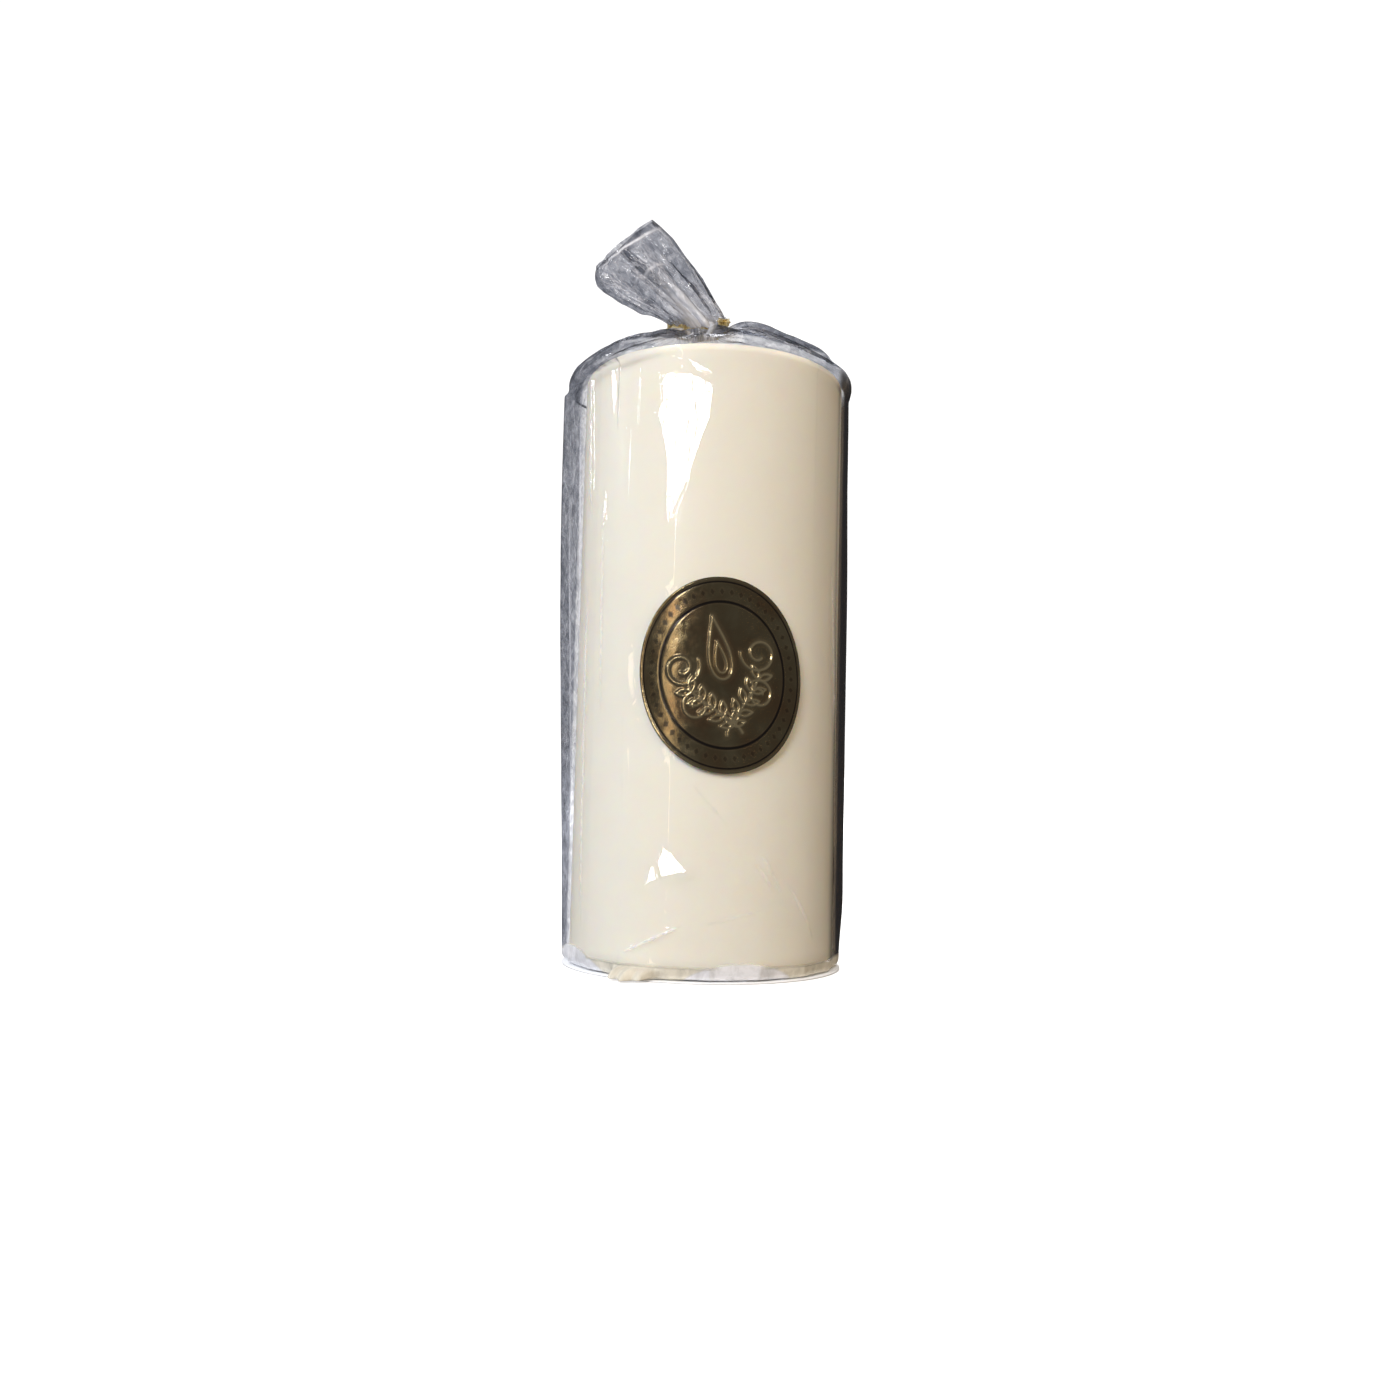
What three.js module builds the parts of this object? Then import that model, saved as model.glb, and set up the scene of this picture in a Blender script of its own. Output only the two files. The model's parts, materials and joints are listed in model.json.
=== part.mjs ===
// A wrapped unity candle: an ivory wax pillar with its wick, in a clear film bag that is gathered over
// the candle and closed with a gold twist tie. An oval foil label is stuck on the front of the film and
// a round paper label closes its folded base.
// Millimetres, +Z up. The origin is on the candle's axis, on the face that the candle stands on.

import * as THREE from "three";

// ---- Driving dimensions ----
const WAX_RADIUS = 34;
const WAX_HEIGHT = 150;
const WAX_BASE_Z = 3; // the folded film under the candle lifts it this far
const WAX_TOP_Z = WAX_BASE_Z + WAX_HEIGHT;
const COAT_THICKNESS = 1.5; // the harder outer coat that the core is dipped in
const SHOULDER_RADIUS = 1.8;
const WICK_RADIUS = 1.25;
const WICK_ABOVE_WAX = 8;
const GAP = 0.15; // between fixed pieces that touch
const ROUND_STEPS = 64; // facets round the candle and everything concentric with it

const FILM_THICKNESS = 0.4;
const FILM_INNER_RADIUS = WAX_RADIUS + 0.4;
const FILM_BASE_Z = 2.2;
const LEFT_CREASE_REACH = 5.2; // how far the bag's flattened edges stand off its round body
const RIGHT_CREASE_REACH = 1.9;
const LOBE = { x: 20, height: 4.2, spread: 7 }; // the film's puffed shoulder, right of the neck

const NECK_X = -5; // the gathered neck leans to the left of the candle's axis
const NECK_HALF_WIDTH = 6.6;
const NECK_HALF_DEPTH = 3.2;
const NECK_BASE_Z = 165.5;
const NECK_TOP_Z = 170.1;

const TAIL_LEAN = THREE.MathUtils.degToRad(48); // from upright, towards -X
const TAIL_FORWARD = THREE.MathUtils.degToRad(8); // and a little towards the front
const TAIL_LENGTH = 25.5; // from the pivot to the mouth
const TAIL_ROOT_RADIUS = 3.4;
const TAIL_MOUTH_RADIUS = 11.2;
const TAIL_WALL = 0.7;
const TAIL_FLATNESS = 0.46; // the tail's depth over its width
const TAIL_PIVOT = new THREE.Vector3(NECK_X, 0, NECK_TOP_Z + 0.3 + TAIL_ROOT_RADIUS);

const TIE_Z = 168.3;
const TIE_WIDTH = 3.2;
const TIE_THICKNESS = 1;
const TIE_WIRE_RADIUS = 0.22;
const TIE_STANDOFF = 0.85; // from the neck's surface to the middle of the ribbon
const TIE_OPENING = 0.42; // radians of the loop left open where its two ends leave it
const TIE_END_ANGLE = -0.8; // where on the loop they leave it, radians from +X
const TWIST_TURNS = 2;
const TWIST_LENGTH = 6;
const TWIST_RADIUS = 0.68;
const STRAND_RADIUS = 0.56;
const TIE_STEPS = 36;

const LABEL_HALF_HEIGHT = 23.4;
const LABEL_HALF_WIDTH = 20.4;
const LABEL_CENTRE_Z = 72;
const LABEL_AZIMUTH = THREE.MathUtils.degToRad(5.9); // from the front, towards +X
const LABEL_TILT = THREE.MathUtils.degToRad(12.2); // its top leans to the left
const LABEL_RADIUS = FILM_INNER_RADIUS + FILM_THICKNESS + GAP;
const LABEL_THICKNESS = 0.25;
const LABEL_RELIEF = 0.15;

const BASE_LABEL_THICKNESS = 0.3;
const BASE_LABEL_RADIUS = 33.5;
const BASE_LABEL_LIP_RADIUS = 35.9;
const BASE_LABEL_LIP_Z = 2.4;

// ---- Materials ----
const material = (color, roughness, metalness = 0, opacity = 1) =>
  new THREE.MeshStandardMaterial({ color, roughness, metalness, opacity, transparent: opacity < 1 });

const waxCoat = material(0xe6dac4, 0.42);
const waxInner = material(0xece3d0, 0.55);
const cotton = material(0xf0ebe0, 0.95);
const tinplate = material(0xb9bbbd, 0.35, 1);
const clearFilm = material(0xdfe3e8, 0.08, 0, 0.25);
const goldRibbon = material(0xc9a545, 0.3, 0.9);
const steelWire = material(0x8e8f92, 0.4, 1);
const bronzeFoil = material(0x6a5a38, 0.22, 1);
const whitePaper = material(0xeef0f2, 0.8);

// ---- Helpers ----
const part = new THREE.Group();

function add(name, geometry, surface) {
  const mesh = new THREE.Mesh(geometry, surface);
  mesh.name = name;
  part.add(mesh);
  return mesh;
}

// Turns a profile of [radius, height] points round the Z axis.
function lathe(profile, steps = ROUND_STEPS) {
  const points = profile.map(([radius, height]) => new THREE.Vector2(radius, height));
  return new THREE.LatheGeometry(points, steps).rotateX(Math.PI / 2);
}

// Moves each vertex to where place(vertex) puts it.
function reshape(geometry, place) {
  const position = geometry.attributes.position;
  const vertex = new THREE.Vector3();
  for (let i = 0; i < position.count; i += 1) {
    place(vertex.fromBufferAttribute(position, i));
    position.setXYZ(i, vertex.x, vertex.y, vertex.z);
  }
  geometry.computeVertexNormals();
  return geometry;
}

// Points on an arc round [radius, height], from one angle to another in quarter turns.
function arc(centre, radius, from, to, steps) {
  return Array.from({ length: steps + 1 }, (_, i) => {
    const angle = ((from + ((to - from) * i) / steps) * Math.PI) / 2;
    return [centre[0] + radius * Math.cos(angle), centre[1] + radius * Math.sin(angle)];
  });
}

function sweep(section, extrudePath, steps) {
  return new THREE.ExtrudeGeometry(section, { steps, curveSegments: 4, bevelEnabled: false, extrudePath });
}

function disc(radius) {
  return new THREE.Shape().absarc(0, 0, radius, 0, 2 * Math.PI);
}

// ---- The candle ----
function waxCoatShell() {
  const innerRadius = WAX_RADIUS - COAT_THICKNESS;
  return lathe([
    [innerRadius, WAX_BASE_Z],
    [WAX_RADIUS, WAX_BASE_Z],
    ...arc([WAX_RADIUS - SHOULDER_RADIUS, WAX_TOP_Z - SHOULDER_RADIUS], SHOULDER_RADIUS, 0, 1, 4),
    [WICK_RADIUS + GAP, WAX_TOP_Z],
    [WICK_RADIUS + GAP, WAX_TOP_Z - COAT_THICKNESS],
    [innerRadius, WAX_TOP_Z - COAT_THICKNESS],
    [innerRadius, WAX_BASE_Z],
  ]);
}

const TAB_RADIUS = 10;
const TAB_THICKNESS = 0.4;
const TAB_NECK_HEIGHT = 5;
const TAB_NECK_RADIUS = WICK_RADIUS + GAP + 0.45;

function waxCore() {
  const radius = WAX_RADIUS - COAT_THICKNESS - GAP;
  const top = WAX_TOP_Z - COAT_THICKNESS - GAP;
  const bore = WICK_RADIUS + GAP;
  const recessTop = WAX_BASE_Z + TAB_THICKNESS + GAP;
  const neckTop = WAX_BASE_Z + TAB_NECK_HEIGHT + GAP;
  return lathe([
    [TAB_RADIUS + GAP, WAX_BASE_Z],
    [radius, WAX_BASE_Z],
    [radius, top],
    [bore, top],
    [bore, neckTop],
    [TAB_NECK_RADIUS + GAP, neckTop],
    [TAB_NECK_RADIUS + GAP, recessTop],
    [TAB_RADIUS + GAP, recessTop],
    [TAB_RADIUS + GAP, WAX_BASE_Z],
  ]);
}

// A round plate with a crimped neck that grips the wick.
function wickTab() {
  const bore = WICK_RADIUS + GAP;
  return lathe([
    [bore, WAX_BASE_Z],
    [TAB_RADIUS, WAX_BASE_Z],
    [TAB_RADIUS, WAX_BASE_Z + TAB_THICKNESS],
    [TAB_NECK_RADIUS, WAX_BASE_Z + TAB_THICKNESS],
    [TAB_NECK_RADIUS, WAX_BASE_Z + TAB_NECK_HEIGHT],
    [bore, WAX_BASE_Z + TAB_NECK_HEIGHT],
    [bore, WAX_BASE_Z],
  ], 32);
}

function wickCord() {
  return lathe([
    [0, WAX_BASE_Z],
    [WICK_RADIUS, WAX_BASE_Z],
    [WICK_RADIUS, WAX_TOP_Z + WICK_ABOVE_WAX - 0.6],
    [WICK_RADIUS - 0.5, WAX_TOP_Z + WICK_ABOVE_WAX],
    [0, WAX_TOP_Z + WICK_ABOVE_WAX],
  ], 16);
}

// ---- The film bag ----
// The bag was a flat tube, so its two edges stand off the candle as creases. The film runs from each
// crease to the round body along a tangent.
function creaseFactor(angleFromCrease, reach) {
  const radius = FILM_INNER_RADIUS + FILM_THICKNESS;
  const tangentAngle = Math.acos(radius / (radius + reach));
  return 1 / Math.cos(Math.max(0, tangentAngle - Math.abs(angleFromCrease)));
}

// The left crease stands out most just under the shoulder, and less towards the base.
function leftReach(z) {
  return LEFT_CREASE_REACH * (0.14 + 0.86 * THREE.MathUtils.smoothstep(z, -60, 140));
}

function shapeFilm(vertex) {
  const angle = Math.atan2(vertex.y, vertex.x);
  const fromLeft = Math.PI - Math.abs(angle);
  const crease = creaseFactor(fromLeft, leftReach(vertex.z)) * creaseFactor(angle, RIGHT_CREASE_REACH);
  const belowShoulder = 1 - THREE.MathUtils.smoothstep(vertex.z, WAX_TOP_Z - 4, NECK_BASE_Z - 4);
  const aboveFoot = THREE.MathUtils.smoothstep(vertex.z, FILM_BASE_Z + 0.5, 22);
  const scale = 1 + (crease - 1) * belowShoulder * aboveFoot;
  const toNeck = THREE.MathUtils.smoothstep(vertex.z, WAX_TOP_Z + 4, NECK_BASE_Z);
  const flatten = 1 - (1 - NECK_HALF_DEPTH / NECK_HALF_WIDTH)
    * (1 - THREE.MathUtils.smoothstep(Math.hypot(vertex.x, vertex.y), NECK_HALF_WIDTH, 20)) * toNeck;
  vertex.z += LOBE.height * Math.exp(-((vertex.x - LOBE.x) ** 2 + vertex.y ** 2) / LOBE.spread ** 2) * toNeck;
  vertex.x = vertex.x * scale + NECK_X * toNeck;
  vertex.y *= scale * flatten;
}

const FILM_FOOT_ROUNDING = 0.5;

// The outer profile, from the middle of the base up over the shoulder to the top of the neck.
function filmProfile(inset) {
  const body = FILM_INNER_RADIUS + FILM_THICKNESS - inset;
  const base = FILM_BASE_Z + inset;
  return [
    [0, base],
    [body - FILM_FOOT_ROUNDING, base],
    [body, base + FILM_FOOT_ROUNDING],
    ...[8, 15, 24, 50, 75, 100, 122, 139, 149].map((z) => [body, z]),
    [body - 0.3, 153],
    [32.4 - inset, 157.6],
    [28.6 - inset, 161],
    [22.5 - inset, 163.5 - inset * 0.7],
    [15.5, 164.9 - inset],
    [10.5, NECK_BASE_Z - inset],
    [NECK_HALF_WIDTH + 1 - inset * 1.5, NECK_BASE_Z + 0.5 - inset * 0.6],
    [NECK_HALF_WIDTH - inset * 3, NECK_BASE_Z + 0.9],
    [NECK_HALF_WIDTH - inset * 3, NECK_TOP_Z],
  ];
}

function filmSleeve() {
  const profile = [...filmProfile(0), ...filmProfile(FILM_THICKNESS).reverse()];
  return reshape(lathe(profile), shapeFilm);
}

// The lap seal that closes the film down the back.
const SEAM = { halfAngle: 0.11, fromZ: 8, length: 138 };

function backSeam() {
  const inner = FILM_INNER_RADIUS + FILM_THICKNESS + GAP;
  const right = Math.PI / 2 - SEAM.halfAngle;
  const left = Math.PI / 2 + SEAM.halfAngle;
  const seam = new THREE.Shape();
  seam.absarc(0, 0, inner + FILM_THICKNESS, right, left, false);
  seam.absarc(0, 0, inner, left, right, true);
  return new THREE.ExtrudeGeometry(seam, { depth: SEAM.length, curveSegments: 6, bevelEnabled: false })
    .translate(0, 0, SEAM.fromZ);
}

// The bag's heat-sealed end, folded flat under the base.
const BOTTOM_SEAL = { length: 58, width: 15, thickness: 1.2 };

function bottomSeal() {
  const { length, width, thickness } = BOTTOM_SEAL;
  return new THREE.BoxGeometry(length, width, thickness)
    .translate(0, 0, FILM_BASE_Z - GAP - thickness / 2);
}

// One corner of the flat bag, which stands off the base as a folded ear.
const EAR_AZIMUTH = THREE.MathUtils.degToRad(-26);

function cornerEar() {
  const outline = new THREE.Shape()
    .moveTo(-7, 4.6)
    .quadraticCurveTo(-5.5, 1, -1.5, 0.35)
    .lineTo(4.6, 0.35)
    .quadraticCurveTo(6.4, 2, 6.6, 4.2)
    .closePath();
  return new THREE.ExtrudeGeometry(outline, { depth: 1.6, curveSegments: 5, bevelEnabled: false })
    .rotateX(Math.PI / 2)
    .translate(0, -BASE_LABEL_LIP_RADIUS - GAP, 0)
    .rotateZ(EAR_AZIMUTH);
}

// The film beyond the tie: it opens out like a flattened horn and lies over to the left.
function filmTail() {
  const horn = [
    ...arc([0, 0], TAIL_ROOT_RADIUS, -1, 0.1, 5),
    [5.6, 4.5],
    [8.2, 10],
    [10, 16],
    [TAIL_MOUTH_RADIUS, TAIL_LENGTH],
    [TAIL_MOUTH_RADIUS - TAIL_WALL, TAIL_LENGTH],
    [10 - TAIL_WALL, 16.4],
    [8 - TAIL_WALL, 11],
    [4, 6.4],
    [0, 4.6],
  ];
  return reshape(lathe(horn, 32), (vertex) => {
    vertex.y *= TAIL_FLATNESS;
  });
}

// ---- The twist tie ----
const LOOP_HALF_WIDTH = NECK_HALF_WIDTH + TIE_STANDOFF;
const LOOP_HALF_DEPTH = NECK_HALF_DEPTH + TIE_STANDOFF;

class TieLoop extends THREE.Curve {
  getPoint(t, target = new THREE.Vector3()) {
    const from = TIE_END_ANGLE + TIE_OPENING / 2;
    const angle = from + t * (2 * Math.PI - TIE_OPENING);
    return target.set(
      NECK_X + LOOP_HALF_WIDTH * Math.cos(angle),
      LOOP_HALF_DEPTH * Math.sin(angle),
      TIE_Z,
    );
  }
}

function tieRibbon() {
  const ribbon = new THREE.Shape()
    .moveTo(-TIE_WIDTH / 2, -TIE_THICKNESS / 2)
    .lineTo(TIE_WIDTH / 2, -TIE_THICKNESS / 2)
    .lineTo(TIE_WIDTH / 2, TIE_THICKNESS / 2)
    .lineTo(-TIE_WIDTH / 2, TIE_THICKNESS / 2)
    .closePath();
  ribbon.holes.push(new THREE.Path().absarc(0, 0, TIE_WIRE_RADIUS + GAP, 0, 2 * Math.PI));
  return sweep(ribbon, new TieLoop(), TIE_STEPS);
}

function tieWire() {
  return sweep(disc(TIE_WIRE_RADIUS), new TieLoop(), TIE_STEPS);
}

// One of the two ribbon ends, twisted round the other. It runs along +Z from the origin.
class Strand extends THREE.Curve {
  constructor(phase) {
    super();
    this.phase = phase;
  }

  getPoint(t, target = new THREE.Vector3()) {
    const angle = this.phase + 2 * Math.PI * TWIST_TURNS * t;
    return target.set(TWIST_RADIUS * Math.cos(angle), TWIST_RADIUS * Math.sin(angle), t * TWIST_LENGTH);
  }
}

function tieStrand(phase) {
  return sweep(disc(STRAND_RADIUS), new Strand(phase), TIE_STEPS);
}

// The pivot of the twisted ends, just outside the loop, and the way they point.
const TWIST_ROOT = new THREE.Vector3(
  NECK_X + (LOOP_HALF_WIDTH + 1.5) * Math.cos(TIE_END_ANGLE),
  (LOOP_HALF_DEPTH + 1.5) * Math.sin(TIE_END_ANGLE),
  TIE_Z,
);
const TWIST_DIRECTION = new THREE.Vector3(0.15, -0.95, -0.2).normalize();

// ---- The labels ----
// The foil label as a round plate of radius 1 with a raised border and ring, bent onto the film.
function foilLabel() {
  const plain = LABEL_THICKNESS;
  const raised = LABEL_THICKNESS + LABEL_RELIEF;
  const plate = [
    ...[0, 0.2, 0.4, 0.6, 0.8, 1].map((radius) => [radius, 0]),
    [1, raised],
    [0.955, raised],
    [0.94, plain],
    [0.79, plain],
    [0.775, raised],
    [0.745, raised],
    [0.73, plain],
    ...[0.5, 0.25, 0].map((radius) => [radius, plain]),
  ];
  return reshape(lathe(plate, 48), (vertex) => {
    const across = vertex.x * LABEL_HALF_WIDTH;
    const up = vertex.y * LABEL_HALF_HEIGHT;
    const along = across * Math.cos(LABEL_TILT) - up * Math.sin(LABEL_TILT);
    const height = across * Math.sin(LABEL_TILT) + up * Math.cos(LABEL_TILT);
    const azimuth = LABEL_AZIMUTH + along / LABEL_RADIUS;
    const radius = LABEL_RADIUS + vertex.z;
    vertex.set(radius * Math.sin(azimuth), -radius * Math.cos(azimuth), LABEL_CENTRE_Z + height);
  });
}

// The round paper label under the base, with its edge turned up round the foot of the film.
function baseLabel() {
  const thickness = BASE_LABEL_THICKNESS;
  return lathe([
    [0, 0],
    [BASE_LABEL_RADIUS, 0],
    [BASE_LABEL_LIP_RADIUS - 0.5, 0.8],
    [BASE_LABEL_LIP_RADIUS, BASE_LABEL_LIP_Z],
    [BASE_LABEL_LIP_RADIUS - thickness, BASE_LABEL_LIP_Z],
    [BASE_LABEL_LIP_RADIUS - 0.5 - thickness, 1],
    [BASE_LABEL_RADIUS - 0.1, thickness],
    [0, thickness],
  ]);
}

// ---- Assembly ----
add("wax_coat", waxCoatShell(), waxCoat);
add("wax_core", waxCore(), waxInner);
add("wick", wickCord(), cotton);
add("wick_tab", wickTab(), tinplate);

add("film_sleeve", filmSleeve(), clearFilm);
add("film_back_seam", backSeam(), clearFilm);
add("film_bottom_seal", bottomSeal(), clearFilm);
add("film_corner_ear", cornerEar(), clearFilm);

const tail = add("film_tail", filmTail(), clearFilm);
tail.position.copy(TAIL_PIVOT);
tail.rotation.set(TAIL_FORWARD, -TAIL_LEAN, 0, "YXZ");

add("tie_ribbon", tieRibbon(), goldRibbon);
add("tie_wire", tieWire(), steelWire);
["tie_strand_a", "tie_strand_b"].forEach((name, i) => {
  const strand = add(name, tieStrand(i * Math.PI), goldRibbon);
  strand.position.copy(TWIST_ROOT);
  strand.quaternion.setFromUnitVectors(new THREE.Vector3(0, 0, 1), TWIST_DIRECTION);
});

add("foil_label", foilLabel(), bronzeFoil);
add("base_label", baseLabel(), whitePaper);

export default part;
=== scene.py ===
"""A wrapped unity candle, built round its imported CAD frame.

The wax, wick, tie and labels are fine meshes in the place of their plain CAD solids. The clear film is
two thin sheets, the bag round the candle and its loose tail, with their pleats, creases and facets
worked out point by point. Lengths are in millimetres until a mesh is made, which is in metres.
"""

import json
import math

import bpy
import numpy as np
from mathutils import Matrix, Vector
from numpy.random import default_rng

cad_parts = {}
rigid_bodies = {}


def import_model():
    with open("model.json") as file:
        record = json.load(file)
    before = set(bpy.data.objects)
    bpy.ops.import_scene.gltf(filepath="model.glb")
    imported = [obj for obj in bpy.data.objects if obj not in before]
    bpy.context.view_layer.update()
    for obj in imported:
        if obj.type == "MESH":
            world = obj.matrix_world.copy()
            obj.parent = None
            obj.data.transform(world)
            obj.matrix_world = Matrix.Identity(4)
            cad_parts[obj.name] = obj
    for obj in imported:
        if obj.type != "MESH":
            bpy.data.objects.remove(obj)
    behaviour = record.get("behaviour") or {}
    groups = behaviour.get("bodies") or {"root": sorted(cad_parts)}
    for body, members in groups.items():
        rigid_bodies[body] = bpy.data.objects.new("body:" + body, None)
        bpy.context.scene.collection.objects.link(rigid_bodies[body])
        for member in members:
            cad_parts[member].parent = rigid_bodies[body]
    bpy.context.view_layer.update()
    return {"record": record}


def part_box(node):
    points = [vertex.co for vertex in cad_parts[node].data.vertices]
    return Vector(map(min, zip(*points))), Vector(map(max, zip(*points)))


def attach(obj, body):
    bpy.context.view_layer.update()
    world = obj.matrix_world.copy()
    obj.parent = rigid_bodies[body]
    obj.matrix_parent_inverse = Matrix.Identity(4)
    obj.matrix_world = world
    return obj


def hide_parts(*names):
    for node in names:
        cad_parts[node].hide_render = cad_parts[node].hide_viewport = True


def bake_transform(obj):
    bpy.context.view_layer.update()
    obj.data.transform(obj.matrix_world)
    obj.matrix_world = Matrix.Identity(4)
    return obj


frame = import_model()

MM = 0.001
TURN = 2 * math.pi
FRONT = 1.5 * math.pi  # angles run counter-clockwise from +X, seen from above, so -Y is here


# ---- places and sizes from the frame

def box_mm(node):
    low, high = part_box(node)
    return np.array(low) / MM, np.array(high) / MM


wax_low, wax_high = box_mm("wax_coat")
tie_low, tie_high = box_mm("tie_wire")
label_low, label_high = box_mm("foil_label")
_, paper_high = box_mm("base_label")
wick_low, wick_high = box_mm("wick")

WAX_RADIUS = wax_high[0]
WAX_BASE = wax_low[2]
WAX_TOP = wax_high[2]
WAX_SHOULDER = 2.6
COAT_THICKNESS = 1.5
CORE_RADIUS = WAX_RADIUS - COAT_THICKNESS
WICK_BORE = 1.45

joints = {joint["name"]: joint for joint in frame["record"]["behaviour"]["joints"]}
TAIL_PIVOT = np.array(joints["tail_fold"]["pos_m"]) / MM
TWIST_ROOT = np.array(joints["tie_twist"]["pos_m"]) / MM
TWIST_AXIS = np.array(joints["tie_twist"]["axis"])

NECK_X = TAIL_PIVOT[0]
TIE_Z = (tie_low[2] + tie_high[2]) / 2
NECK_HALF_WIDTH = 6.7
NECK_HALF_DEPTH = 2.7

FILM_RADIUS = WAX_RADIUS + 0.35
LAP = 8.0  # how far the film's two long edges lie over each other at the back
LAP_LIFT = 0.3

LABEL_RADIUS = WAX_RADIUS + 0.95
LABEL_HALF_HEIGHT = 23.4
LABEL_HALF_WIDTH = 20.4
LABEL_Z = (label_low[2] + label_high[2]) / 2
LABEL_AZIMUTH = math.radians(5.9)
LABEL_TILT = math.radians(12.2)


# ---- camera, lights and stage

CAMERA_PLACE = np.array([-1.8, -324.9, 44.8])
CAMERA_PITCH = math.radians(4.16)
CAMERA_ROLL = math.radians(1.44)
CAMERA_LENS = 31.8

WINDOW_PLACE = np.array([-690.0, -1300.0, 545.0])
SIDE_WINDOW_PLACE = np.array([-1400.0, -90.0, 610.0])


def make_camera():
    data = bpy.data.cameras.new("camera")
    data.lens = CAMERA_LENS
    data.sensor_width = 36
    data.clip_start = 0.01
    camera = bpy.data.objects.new("camera", data)
    bpy.context.collection.objects.link(camera)
    turn = Matrix.Rotation(math.pi / 2 + CAMERA_PITCH, 4, "X") @ Matrix.Rotation(CAMERA_ROLL, 4, "Z")
    camera.matrix_world = Matrix.Translation(Vector(CAMERA_PLACE * MM)) @ turn
    bpy.context.scene.camera = camera


def area_light(name, place, size, watts, color, mirrored=True, aim=(0, 0, 0.09)):
    """A rectangular light. One that isn't mirrored stays out of glossy reflections."""
    data = bpy.data.lights.new(name, "AREA")
    data.shape = "RECTANGLE"
    data.size, data.size_y = size
    data.energy = watts
    data.color = color
    light = bpy.data.objects.new(name, data)
    bpy.context.collection.objects.link(light)
    light.location = place
    light.rotation_mode = "QUATERNION"
    light.rotation_quaternion = (Vector(aim) - Vector(place)).to_track_quat("-Z", "Y")
    light.visible_glossy = mirrored
    light.visible_camera = False


def make_lights():
    area_light("key", (-0.68, -1.5, 1.15), (0.8, 0.8), 30, (1.0, 0.98, 0.975), False)
    area_light("left_wash", (-1.5, -0.1, 0.7), (0.7, 1.0), 8, (1.0, 0.965, 0.92), False)
    area_light("warm_fill", (1.12, -1.18, 0.4), (0.7, 0.7), 11.5, (1.0, 0.74, 0.42), False)
    area_light("window", WINDOW_PLACE * MM, (0.2, 0.25), 3.8, (0.97, 0.98, 1.0))
    area_light("side_window", SIDE_WINDOW_PLACE * MM, (0.12, 0.3), 2.2, (0.95, 0.97, 1.0))
    area_light("back_wash", (0.3, 0.3, 1.9), (1.6, 0.6), 24, (1.0, 1.0, 1.0), False, (0, 1.3, 0.4))
    area_light("warm_card", (-0.72, -1.2, 0.25), (0.2, 0.6), 1.1, (1.0, 0.8, 0.58))
    area_light("rear_fill", (0.0, 1.6, 0.9), (0.6, 0.9), 24, (1.0, 0.98, 0.95), False)
    area_light("rear_window", (0.0, 1.7, 0.6), (0.1, 0.3), 1.5, (0.97, 0.98, 1.0))
    world = bpy.data.worlds.new("studio")
    bpy.context.scene.world = world
    world.use_nodes = True
    background = world.node_tree.nodes["Background"]
    background.inputs["Color"].default_value = (0.86, 0.9, 1.0, 1)
    background.inputs["Strength"].default_value = 0.13
    bpy.context.scene.view_settings.view_transform = "Standard"
    bpy.context.scene.cycles.transparent_max_bounces = 24


def make_stage():
    """A round floor that curves up into a wall on every side, kept out of the film's reflections."""
    reach, bend, height, columns = 1.6, 0.6, 2.8, 96
    profile = [(0.01, 0.0), (0.4, 0.0), (reach, 0.0)]
    for angle in np.linspace(0, math.pi / 2, 17)[1:]:
        profile.append((reach + bend * math.sin(angle), bend * (1 - math.cos(angle))))
    profile.append((reach + bend, height))
    radius, z = np.array(profile).T[..., None]
    vertices = ring_points(whole_turn(columns), radius, z).reshape(-1, 3).tolist()
    wall = grid_faces(len(profile), columns, True)[:, ::-1]
    faces = [list(range(columns)), *wall.tolist()]
    mesh = bpy.data.meshes.new("stage")
    mesh.from_pydata(vertices, [], faces)
    mesh.polygons.foreach_set("use_smooth", [True] * len(faces))
    stage = bpy.data.objects.new("stage", mesh)
    bpy.context.collection.objects.link(stage)
    mesh.materials.append(stage_material())
    stage.visible_glossy = False
    stage.visible_diffuse = False
    stage.visible_shadow = False


# ---- shader helpers

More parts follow.
